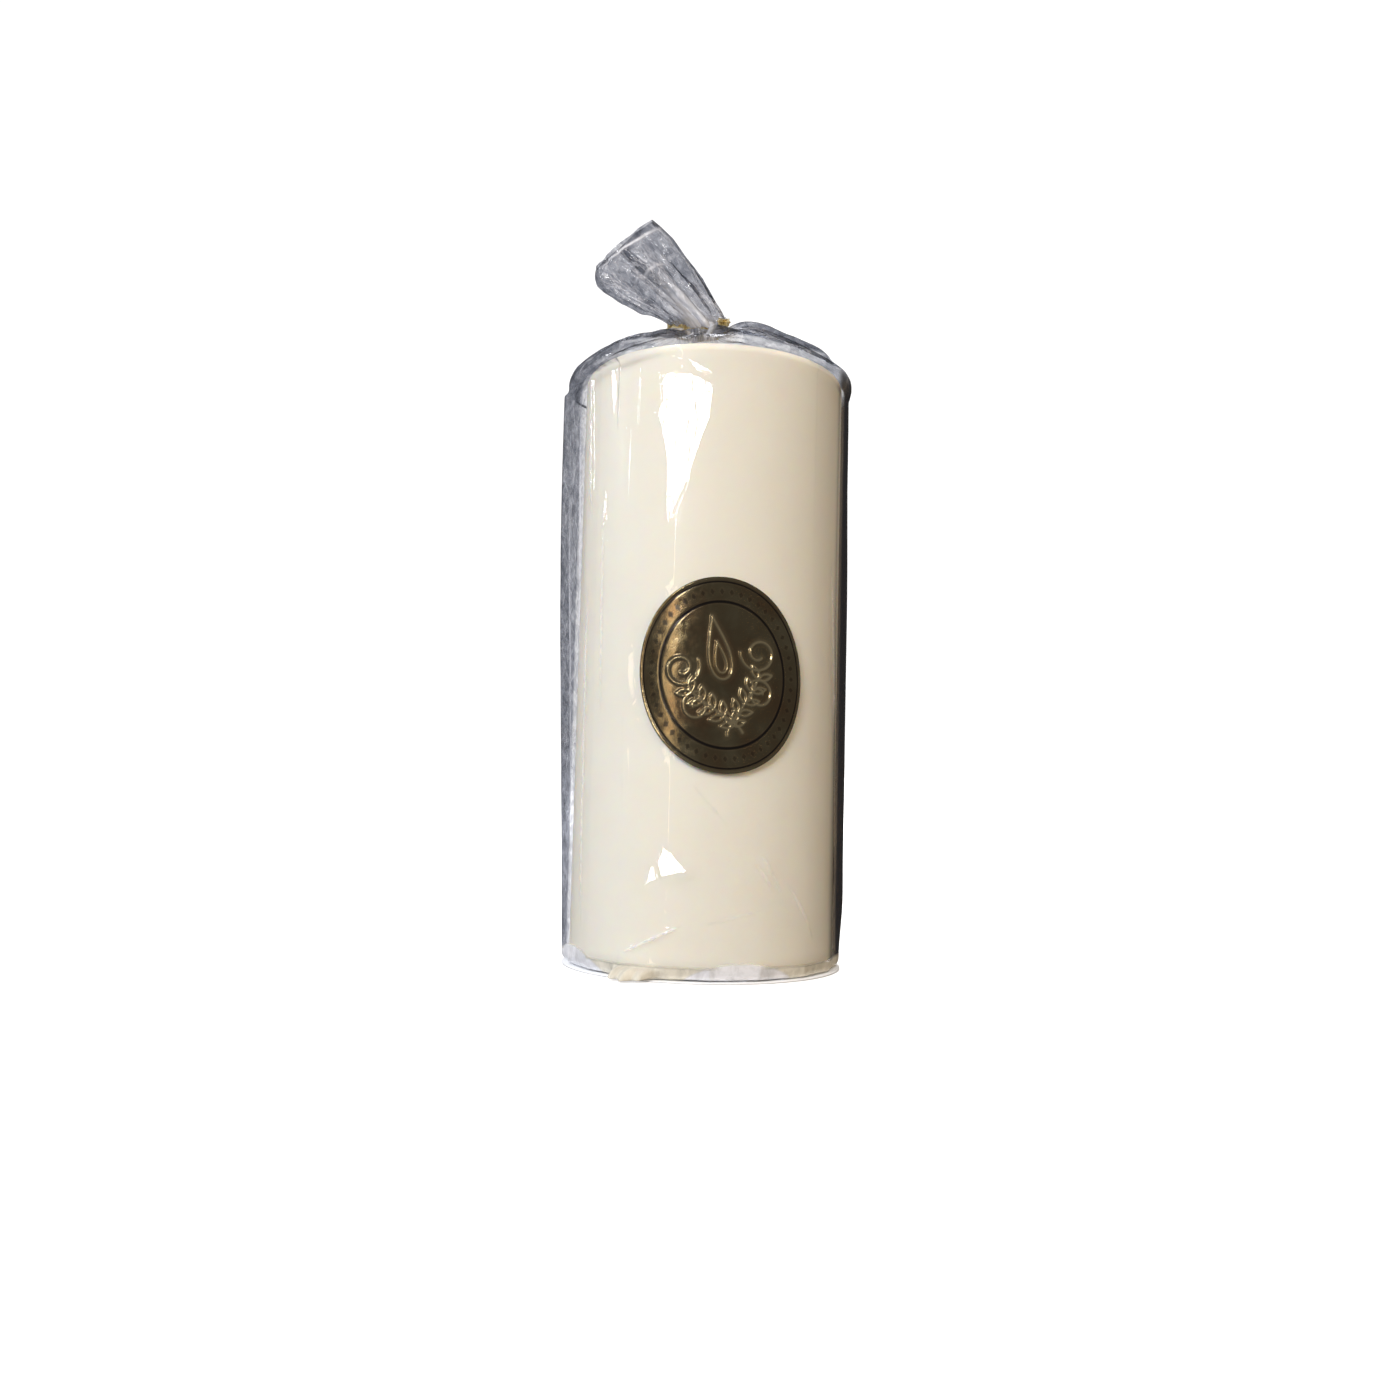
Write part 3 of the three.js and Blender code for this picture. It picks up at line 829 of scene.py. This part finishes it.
# Each step of the shoulder: how far its centre has moved to the neck, then radius and height at the
# left, at the front and back, and at the right.
SHOULDER = [
    (0.0, (38.6, 150.4), (34.7, 152.0), (36.2, 150.8)),
    (0.06, (36.2, 154.2), (33.6, 154.4), (34.7, 155.0)),
    (0.3, (28.6, 159.8), (28.0, 156.6), (28.0, 160.2)),
    (0.6, (20.4, 163.3), (19.5, 159.8), (20.6, 164.4)),
    (0.85, (12.6, 165.3), (12.0, 162.9), (13.2, 167.0)),
    (0.97, (8.6, 166.2), (6.2, 165.1), (9.0, 166.8)),
]
PUFF = {"x": 11.0, "y": -7.0, "height": 1.6, "spread": 6.5}  # a loose fold right of the neck


def shoulder_rows(angle, wall):
    """Over the candle's top and in to the neck. wall is two rows near the top of the body."""
    left = np.maximum(0, -np.cos(angle)) ** 1.6
    right = np.maximum(0, np.cos(angle)) ** 1.6
    front = 1 - left - right
    controls = [wall[0], wall[1]]
    for moved, at_left, at_front, at_right in SHOULDER:
        radius = left * at_left[0] + front * at_front[0] + right * at_right[0]
        z = left * at_left[1] + front * at_front[1] + right * at_right[1]
        controls.append(ring_points(angle, radius, z) + np.array([NECK_X * moved, 0, 0]))
    neck = np.stack([
        NECK_X + NECK_HALF_WIDTH * np.cos(angle),
        NECK_HALF_DEPTH * np.sin(angle),
        TIE_Z - 1.5 + 0 * angle,
    ], axis=-1)
    controls += [neck, neck + np.array([0, 0, 3.0])]
    rows = 110
    first = 1 / (len(controls) - 1)
    t = np.linspace(first, 1, rows + 1)[1:]
    points = spline(controls, t)
    off = (points[..., 0] - PUFF["x"]) ** 2 + (points[..., 1] - PUFF["y"]) ** 2
    points[..., 2] += PUFF["height"] * np.exp(-off / PUFF["spread"] ** 2)
    return points, (t - first) / (1 - first)


def shoulder_relief(angle, t):
    """Pleats that start at the tie and die out over the shoulder, a few of them long."""
    rng = default_rng(23)
    angle, t = angle[None], t[:, None]
    fine = triangle_wave(angle * 31 / TURN + 1.3 * wander(angle, rng, 6))
    middle = triangle_wave(angle * 13 / TURN + 0.8 * wander(angle, rng, 5) + 0.35 * np.sin(5 * t))
    long = triangle_wave(angle * 7 / TURN + 0.9 * wander(angle, rng, 4) - 0.5 * t)
    relief = 0.5 * fine * ease(t, 0.42, 0.78)
    relief += 0.62 * middle * ease(t, 0.12, 0.5) * (1 - 0.5 * ease(t, 0.7, 0.95))
    relief += 0.8 * long * ease(t, 0.02, 0.3) * (1 - ease(t, 0.6, 0.85))
    relief += 0.5 * facets(11 * angle, 30 * t, 11 * TURN, 30, 70, (2, 6), rng) * ease(t, 0.03, 0.2)
    return relief


def facets(u, v, around, length, count, size, rng):
    """Hard creases at random: low pyramids of either sign, in a strip that closes on itself in u."""
    total = np.zeros(np.broadcast(u, v).shape)
    for _ in range(count):
        across = wrapped(u - rng.uniform(0, around), around)
        along = v - rng.uniform(0, length)
        turn = rng.uniform(0, math.pi)
        a = (across * math.cos(turn) + along * math.sin(turn)) / rng.uniform(*size)
        b = (along * math.cos(turn) - across * math.sin(turn)) / (1.6 * rng.uniform(*size))
        total += rng.uniform(-1, 1) * np.maximum(0, 1 - np.abs(a) - np.abs(b))
    return total


def stand_off(points):
    """How far each point stands off the wax, in millimetres."""
    out = np.hypot(points[..., 0], points[..., 1]) - WAX_RADIUS
    over = points[..., 2] - WAX_TOP
    return np.maximum(out, over)


def sheet_places(points, angle, radius):
    """The attributes round and length: millimetres round a sheet gathered to a radius, and along it."""
    step = np.linalg.norm(np.diff(points.mean(axis=1), axis=0), axis=1)
    length = np.concatenate([[0], np.cumsum(step)])
    blank = np.zeros(points.shape[:2])
    return [("round", blank + radius * angle[None]), ("length", blank + length[:, None])]


# Shares over the film. All but crumple paint shade, a shadow, a reflection, highlights or glints on it,
# or the white patches at its foot.
FILM_LOOKS = ("smoke", "side_smoke", "shadow", "crumple", "milk", "pale", "frost", "crease")


def film_piece(name, points, material_name, crinkle, body, places, **looks):
    """A sheet of film. places are its attributes round and length; a look that isn't given is 0."""
    blank = np.zeros(points.shape[:2])
    attributes = [(key, blank + looks.get(key, 0.0)) for key in FILM_LOOKS] + places
    faces = grid_faces(*blank.shape, False).tolist()
    material = film_material(material_name, crinkle)
    return make_piece(name, points, faces, material, body, attributes)


# (azimuth from the front, half width, height) of the white patches on the film's foot.
CRESCENTS = [(math.radians(16), math.radians(23), 4.0), (math.radians(-70), math.radians(26), 5.0)]


def foot_crescents(angle, z):
    """1 on the white patches of film at the foot: lens shapes that stand on the floor."""
    total = np.zeros(z.shape)
    for middle, half, height in CRESCENTS:
        off = wrapped(angle - FRONT - middle)
        top = 0.6 + height * np.maximum(0, 1 - (off / half) ** 2) ** 0.8
        total = np.maximum(total, ease(top - z, -0.3, 0.4) * (np.abs(off) < half))
    return total


def crease_lines(angle, z):
    """The painted highlight along the creases of RIDGES, how white the film is: 1 on a high one, less on
    a low one.
    """
    total = np.zeros(z.shape)
    for start, end, height, _ in RIDGES:
        total = np.maximum(total, ridge(angle, z, start, end, min(1.0, 1.4 * height), 0.55))
    return total


def make_film_bag():
    angle = film_angles(500)
    body = body_rows(angle)
    shoulder, t = shoulder_rows(angle, body[[-6, -1]])
    points = np.concatenate([bottom_rows(angle), foot_rows(angle), body, shoulder])
    relief = np.zeros(points.shape[:2])
    relief[-len(t):] = shoulder_relief(angle, t)
    lap_start = math.pi / 2 + TURN
    relief += LAP_LIFT * ease(angle, lap_start - 0.2, lap_start) * ease(points[..., 2], 2, 6)
    points = points + surface_normals(points) * relief[..., None]

    off = stand_off(points)
    x, z = points[..., 0], points[..., 2]
    foot = 1 - ease(z, 2.9, 3.6)
    above = ease(z, WAX_TOP - 2, WAX_TOP + 4)
    from_neck = np.hypot(x - NECK_X, points[..., 1])
    near_neck = above * (1 - ease(from_neck, 7.5, 13))
    beside = np.maximum(ease(off, 1.0, 2.5), 0.9 * ease(-x, 33.9, 34.7))
    # Painted shade: grey where the film stands off the wax or reaches past its left edge, for the dark
    # surroundings seen through it; on the side wall only where it is seen edge on.
    smoke = 0.58 * above * beside * (1 - 0.6 * near_neck)
    side_smoke = 0.6 * (1 - above) * beside * (1 - foot)
    # Painted shadow: the dark brown strip at the right edge, where the film is seen edge on.
    shadow = ease(off, 0.4, 0.9) * ease(x, 30.9, 33.2) * (1 - ease(z, 149, 158))
    crumple = 0.1 + ease(off, 1.2, 3.0) * (0.3 + 0.3 * above)
    # Painted highlights: white glints on the streaks over the shoulder and, fainter, on the film past
    # the wax's left edge.
    frost = 0.7 * above + 0.25 * ease(-x, 33.5, 35.5) * (1 - above)
    crescents = foot_crescents(angle[None], z)
    pale = np.maximum(crescents, near_neck)
    # A pale layer: ivory on the foot, a painted reflection of the wax, and white on the lens shapes at
    # the foot and near the neck.
    milk = np.maximum(0.7 * foot, np.maximum(0.85 * crescents, 0.55 * near_neck))
    # Painted highlight: white along the creases of the wall.
    crease = 0.75 * crease_lines(angle[None], z) * (1 - above)
    bag = film_piece(
        "film_bag", points, "clear_film_bag", 0.5, "root", sheet_places(points, angle, 12),
        smoke=smoke, side_smoke=side_smoke, shadow=shadow, crumple=crumple, milk=milk, pale=pale,
        frost=frost, crease=crease,
    )
    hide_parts("film_sleeve", "film_back_seam", "film_bottom_seal", "film_corner_ear")
    return bag


# ---- the film's loose tail

# The tail's four lengthwise lines, from inside the tie to the mouth. Its front falls over the tie and
# doubles back up. They are given from the middle of the neck at the tie's height.
TAIL_LEFT = [
    (-6.4, 0.0, -0.1), (-7.9, -2.4, 1.5), (-8.5, -3.8, 0.8), (-10.8, -4.6, 1.4), (-15.4, -4.7, 2.7),
    (-20.6, -4.6, 5.0), (-24.6, -4.3, 8.0), (-26.9, -4.0, 11.2), (-27.4, -3.6, 14.9),
]
TAIL_RIGHT = [
    (6.4, 0.0, -0.1), (7.3, -1.8, 1.7), (7.0, -3.2, 1.6), (6.0, -3.0, 3.8), (3.7, -2.8, 7.5),
    (0.4, -2.8, 12.4), (-3.4, -3.0, 17.8), (-7.8, -3.3, 23.4), (-12.6, -3.6, 28.4),
]
TAIL_FRONT = [
    (0.0, -2.3, -0.1), (1.3, -4.4, 2.5), (2.3, -6.9, -2.2), (-0.6, -7.8, 1.0), (-6.0, -8.4, 6.4),
    (-10.0, -8.8, 10.8), (-13.8, -8.8, 14.8), (-17.2, -8.5, 18.4), (-19.8, -7.8, 21.2),
]
TAIL_BACK = [
    (0.0, 2.3, -0.1), (-0.2, 3.0, 2.3), (-1.0, 2.8, 4.0), (-2.6, 2.3, 6.4), (-5.4, 1.9, 9.8),
    (-8.8, 1.5, 13.4), (-12.4, 1.1, 16.6), (-16.2, 0.8, 19.6), (-19.8, 0.4, 22.4),
]
TAIL_UP = np.array([-0.7, 0.0, 0.71])


# (azimuth, half width, depth) of the tail's inward folds: degrees, and shares of its half width.
TAIL_FOLDS = [
    (214, 17, 0.36), (258, 11, 0.3), (309, 19, 0.34), (38, 17, 0.4), (96, 15, 0.34), (150, 19, 0.4),
]


def tail_folds(angle, t):
    """How far TAIL_FOLDS draw the film in, from the tie at t = 0 to the mouth at t = 1."""
    total = np.zeros(np.broadcast(angle, t).shape)
    for k, (centre, width, depth) in enumerate(TAIL_FOLDS):
        middle = math.radians(centre) + 0.25 * np.sin(2.4 * t + 1.7 * k)
        off = np.abs(wrapped(angle - middle))
        total += depth * np.clip(1 - off / math.radians(width), 0, 1)
    return total * ease(t, 0.05, 0.3) * (1 - 0.7 * ease(t, 0.65, 1))


def tail_surface(angle, t, rng):
    """The flattened horn between the tail's four lines, folded, with its uneven mouth."""
    left, right, front, back = [
        spline(line, t)[:, None] for line in (TAIL_LEFT, TAIL_RIGHT, TAIL_FRONT, TAIL_BACK)
    ]
    centre, half = (left + right) / 2, (right - left) / 2
    t, angle = t[:, None], angle[None]
    reach = (1 - tail_folds(angle, t))[..., None]
    cos, sin = np.cos(angle)[..., None], np.sin(angle)[..., None]
    depth = np.where(sin < 0, front - centre, back - centre) * np.abs(sin) ** 0.9
    points = np.array([NECK_X, 0, TIE_Z]) + centre + half * cos * (0.5 + 0.5 * reach) + depth * reach
    uneven = 0.6 + 0.9 * np.sin(angle) + 0.35 * wander(angle * 3, rng)
    mouth = ease(t, 0.7, 1.0) * uneven * np.abs(np.sin(angle))
    return points + TAIL_UP * mouth[..., None]


def tail_relief(angle, t, rng):
    """Pleats near the tie, streaks along the tail, and facets of two sizes."""
    pleats = triangle_wave(angle * 31 / TURN + 1.3 * wander(angle, default_rng(23), 6))
    streaks = triangle_wave(angle * 19 / TURN + 0.9 * wander(angle, rng, 7) + 0.4 * t)
    swell = 0.35 * pleats * (1 - ease(t, 0.1, 0.4)) + 0.3 * streaks * (1 - ease(t, 0.4, 0.85))
    coarse = facets(9 * angle, 34 * t, 9 * TURN, 36, 60, (2.5, 6.0), rng)
    small = facets(9 * angle, 34 * t, 9 * TURN, 36, 130, (0.9, 2.6), rng)
    return swell + (0.75 * coarse + 0.3 * small) * ease(t, 0.12, 0.35)


def make_film_tail():
    turns = film_angles(300, 0.0)
    shares = np.linspace(0, 1, 130)
    angle, t = turns[None], shares[:, None]
    rng = default_rng(31)
    points = tail_surface(turns, shares, rng)
    points = points + surface_normals(points) * tail_relief(angle, t, rng)[..., None]

    off = wrapped(angle - FRONT)
    # Masks of painted highlights on the tail: the front near the tie, the hem, a sheen patch and a fold
    # across it.
    near = bell(off, 0, 0.85)
    hem = bell(t, 0.925, 0.009) * near
    sheen = bell(off, 0.25 - 0.5 * t, 0.22) * bell(t, 0.42, 0.2)
    fold = bell(t, 0.7 + 0.06 * off, 0.012) * bell(off, 0, 0.6)
    tail = film_piece(
        "film_tail_gather", points, "clear_film_tail", 0.8, None, sheet_places(points, turns, 9),
        # Painted shade: greyer from the tie outwards and again past the hem, for the dark surroundings
        # seen through the tail.
        smoke=0.15 + 0.45 * ease(t, 0.1, 0.4) + 0.3 * ease(t, 0.93, 0.955),
        crumple=0.5 + 0.5 * ease(t, 0.1, 0.5),
        # Painted highlights: a white layer near the front by the tie, along the hem and on the sheen
        # patch.
        milk=0.42 * near * (1 - ease(t, 0.2, 0.6)) + 0.8 * hem + 0.5 * sheen,
        pale=1.0,
        # Painted highlights: glints on the streaks, and white along the hem and the fold.
        frost=0.5,
        crease=0.6 * hem + 0.7 * fold,
    )
    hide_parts("film_tail")
    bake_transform(tail)
    return tail


# ---- twist tie

RIBBON_WIDTH = 3.0
RIBBON_THICKNESS = 0.22
WIRE_BULGE = 0.34
STRAND_LENGTH = 6.0
STRAND_TURNS = 2


def ribbon_section():
    """Half widths and heights of a flat ribbon with a wire in its middle, once round its outline."""
    across = np.array([-1.0, -0.6, -0.28, -0.14, 0.0, 0.14, 0.28, 0.6, 1.0])
    lift = np.array([0.5, 0.5, 0.55, 0.9, 1.0, 0.9, 0.55, 0.5, 0.5]) * RIBBON_THICKNESS
    lift += WIRE_BULGE * bell(across, 0, 0.2)
    top = np.stack([across * RIBBON_WIDTH / 2, lift], axis=-1)
    return np.concatenate([top, (top * np.array([1, -1]))[::-1]])


def ribbon_piece(name, path, width_axis, body, narrow=1.0):
    """A ribbon along path whose width lies along width_axis, both arrays of one vector a step.

    narrow is the share of its full width, for all of it or for each step.
    """
    forward = unit(np.gradient(path, axis=0))
    side = unit(width_axis - (width_axis * forward).sum(axis=1, keepdims=True) * forward)
    up = np.cross(forward, side)
    section = ribbon_section()
    scale = np.broadcast_to(narrow, len(path))
    points = (
        path[:, None]
        + side[:, None] * section[None, :, :1] * scale[:, None, None]
        + up[:, None] * section[None, :, 1:]
    )
    rng = default_rng(len(name))
    points = points + rng.normal(0, 0.035, points.shape)
    faces = tube_faces(*points.shape[:2])
    return make_piece(name, points, faces, gold_material(), body)


def make_tie():
    steps = 130
    half_width = (tie_high[0] - tie_low[0]) / 2
    half_depth = (tie_high[1] - tie_low[1]) / 2
    leave = -0.7
    angle = np.linspace(leave + 0.2, leave + TURN - 0.2, steps)
    crush = 1 + 0.03 * np.sin(9 * angle) + 0.02 * np.sin(23 * angle)
    loop = np.stack([
        NECK_X + half_width * crush * np.cos(angle),
        half_depth * crush * np.sin(angle),
        TIE_Z + 0.25 * np.sin(3 * angle),
    ], axis=-1)
    tilt = 0.25 * np.sin(5 * angle)
    width_axis = np.stack([tilt * np.cos(angle), tilt * np.sin(angle), np.ones(steps)], axis=-1)
    band = ribbon_piece("gold_tie_band", loop, width_axis, "root")
    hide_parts("tie_ribbon")

    side = unit(np.cross(TWIST_AXIS, [0, 0, 1]))
    up = np.cross(side, TWIST_AXIS)
    for k, node in enumerate(("tie_strand_a", "tie_strand_b")):
        t = np.linspace(0, 1, 80)[:, None]
        turn = k * math.pi + TURN * STRAND_TURNS * np.minimum(t / 0.75, 1)
        flare = ease(t, 0.68, 1)
        radial = side * np.cos(turn) + up * np.sin(turn)
        along = t * STRAND_LENGTH * (1 - 0.15 * flare)
        path = TWIST_ROOT + TWIST_AXIS * along + radial * (0.42 + 0.9 * flare**1.5)
        across = np.cross(np.broadcast_to(TWIST_AXIS, radial.shape), radial)
        narrow = 0.55 + 0.1 * flare[:, 0]
        strand = ribbon_piece(f"gold_twist_{'ab'[k]}", path, across, "tie_ends", narrow)
        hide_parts(node)


# ---- labels

def scroll(centre, radius, start, turns, grow, mirror):
    """A spiral line, for the label's ornament."""
    t = np.linspace(0, 1, 70)
    angle = start + turns * TURN * t
    reach = radius * (1 + (grow - 1) * t)
    x = centre[0] + reach * np.cos(angle)
    return np.stack([mirror * x, centre[1] + reach * np.sin(angle)], axis=-1)


def leaf(base, direction, length, mirror):
    """The two sides of a pointed leaf."""
    t = np.linspace(0, 1, 16)
    along = np.array([math.cos(direction), math.sin(direction)])
    across = np.array([-along[1], along[0]])
    sides = []
    for sign in (-1, 1):
        swell = (np.sin(math.pi * t) * 0.2 * length)[:, None]
        line = np.array(base) + t[:, None] * length * along + sign * swell * across
        sides.append(line * np.array([mirror, 1]))
    return sides


ORNAMENT_SCALE = 1.15
ORNAMENT_LIFT = 0.9


def ornament():
    """A flame over two leafy sprigs between scrolls: lines as arrays of (x, y) in label millimetres."""
    t = np.linspace(0, TURN, 60)
    lines = []
    for size, low in ((1.0, 4.9), (0.5, 2.9)):
        tear = np.sin(t) * np.sin(t / 2) ** 1.5
        lines.append(np.stack([3.2 * size * tear, low + 6.6 * size * np.cos(t)], axis=-1))
    for mirror in (-1, 1):
        lines.append(scroll((8.2, 2.2), 4.0, 2.9, 1.35, 0.28, mirror))
        lines.append(scroll((6.6, -6.2), 3.2, 2.0, -1.3, 0.25, mirror))
        stem_t = np.linspace(0, 1, 50)
        stem = np.stack([-1.6 + 9.2 * stem_t, -13.2 + 8.6 * stem_t**0.7 + 2.4 * stem_t**3], axis=-1)
        lines.append(stem * np.array([mirror, 1]))
        for k in range(5):
            place = stem[6 + 10 * k]
            heading = math.atan2(*(stem[8 + 10 * k] - stem[4 + 10 * k])[::-1])
            for swing in (0.85, -0.85):
                lines += leaf(place, heading + swing, 3.1, mirror)
    return [line * ORNAMENT_SCALE + np.array([0, ORNAMENT_LIFT]) for line in lines]


def oval_places(share, angle):
    """(across, up) at a share of the way from the label's middle to its edge."""
    return share * np.cos(angle) * LABEL_HALF_WIDTH, share * np.sin(angle) * LABEL_HALF_HEIGHT


def on_candle(across, up, lift):
    """Places on the flat label, leant over and bent round the candle."""
    along = across * math.cos(LABEL_TILT) - up * math.sin(LABEL_TILT)
    z = across * math.sin(LABEL_TILT) + up * math.cos(LABEL_TILT)
    turn = LABEL_AZIMUTH + along / LABEL_RADIUS
    radius = LABEL_RADIUS + lift
    return np.stack([radius * np.sin(turn), -radius * np.cos(turn), LABEL_Z + z], axis=-1)


def make_foil_label():
    angle = whole_turn(480)[None]
    share = np.linspace(0.004, 1, 170)[:, None]
    a, b = oval_places(share, angle)
    distance = np.full(a.shape, 1e3)
    for line in ornament():
        for start, end in zip(line[:-1], line[1:]):
            distance = np.minimum(distance, segment_distance(a, b, start, end))
    raised = bell(distance, 0, 0.36)
    # Painted shade: a dark band beside each raised line, though the foil has no groove there.
    painted_groove_shade = bell(distance, 0.75, 0.28)
    beads = 48
    bead_angle = (angle * beads / TURN) % 1 - 0.5
    bead = ease(1 - np.abs(share - 0.85) / 0.048 - np.abs(bead_angle) / 0.34, 0, 0.3)
    ring = bell(share, 0.745, 0.022, 4)
    border = bell(share, 0.95, 0.014, 4)
    rim = ease(share, 0.962, 0.985) * (1 - ease(share, 0.99, 1.0))
    height = 0.2 + 0.44 * raised + 0.1 * rim - 0.04 * ring - 0.03 * border + 0 * angle
    ink_and_groove_shade = np.clip(ring + border + 0.8 * bead + 0.4 * painted_groove_shade, 0, 1) + 0 * angle
    # Painted highlight: how bright a gold the raised lines and rim are coloured.
    relief = np.clip(raised * 0.9 + 0.2 * rim, 0, 1)

    top = on_candle(a, b, height)
    under = on_candle(*oval_places(np.linspace(1, 0.004, 24)[:, None], angle), 0.0)
    points = np.concatenate([top, under])
    faces = tube_faces(*points.shape[:2], inside_out=True)
    blank = np.zeros(under.shape[:2])
    label = make_piece(
        "embossed_label", points, faces, foil_material(), "root",
        [("ink_and_groove_shade", np.concatenate([ink_and_groove_shade, blank])), ("relief", np.concatenate([relief, blank]))],
    )
    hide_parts("foil_label")


def make_base_label():
    """A round paper label under the foot, with a slightly lifted edge."""
    columns = 260
    angle = whole_turn(columns)
    edge = paper_high[0] - 0.1
    thickness = 0.28
    lift = 0.1 + 0.08 * wander(angle, default_rng(3))
    shares = np.linspace(0.004, 1, 16)
    rows = [ring_points(angle, edge * t, lift * t**8) for t in shares]
    rows += [ring_points(angle, edge * t, thickness + lift * t**8) for t in shares[::-1]]
    faces = tube_faces(len(rows), columns)
    label = make_piece("base_paper", np.stack(rows), faces, paper_material(), "root")
    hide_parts("base_label")


# ---- assembly

make_camera()
make_lights()
make_stage()
make_wax()
make_wick()
dress_inner_pieces()
bag = make_film_bag()
tail = make_film_tail()
make_tie()
make_foil_label()
make_base_label()
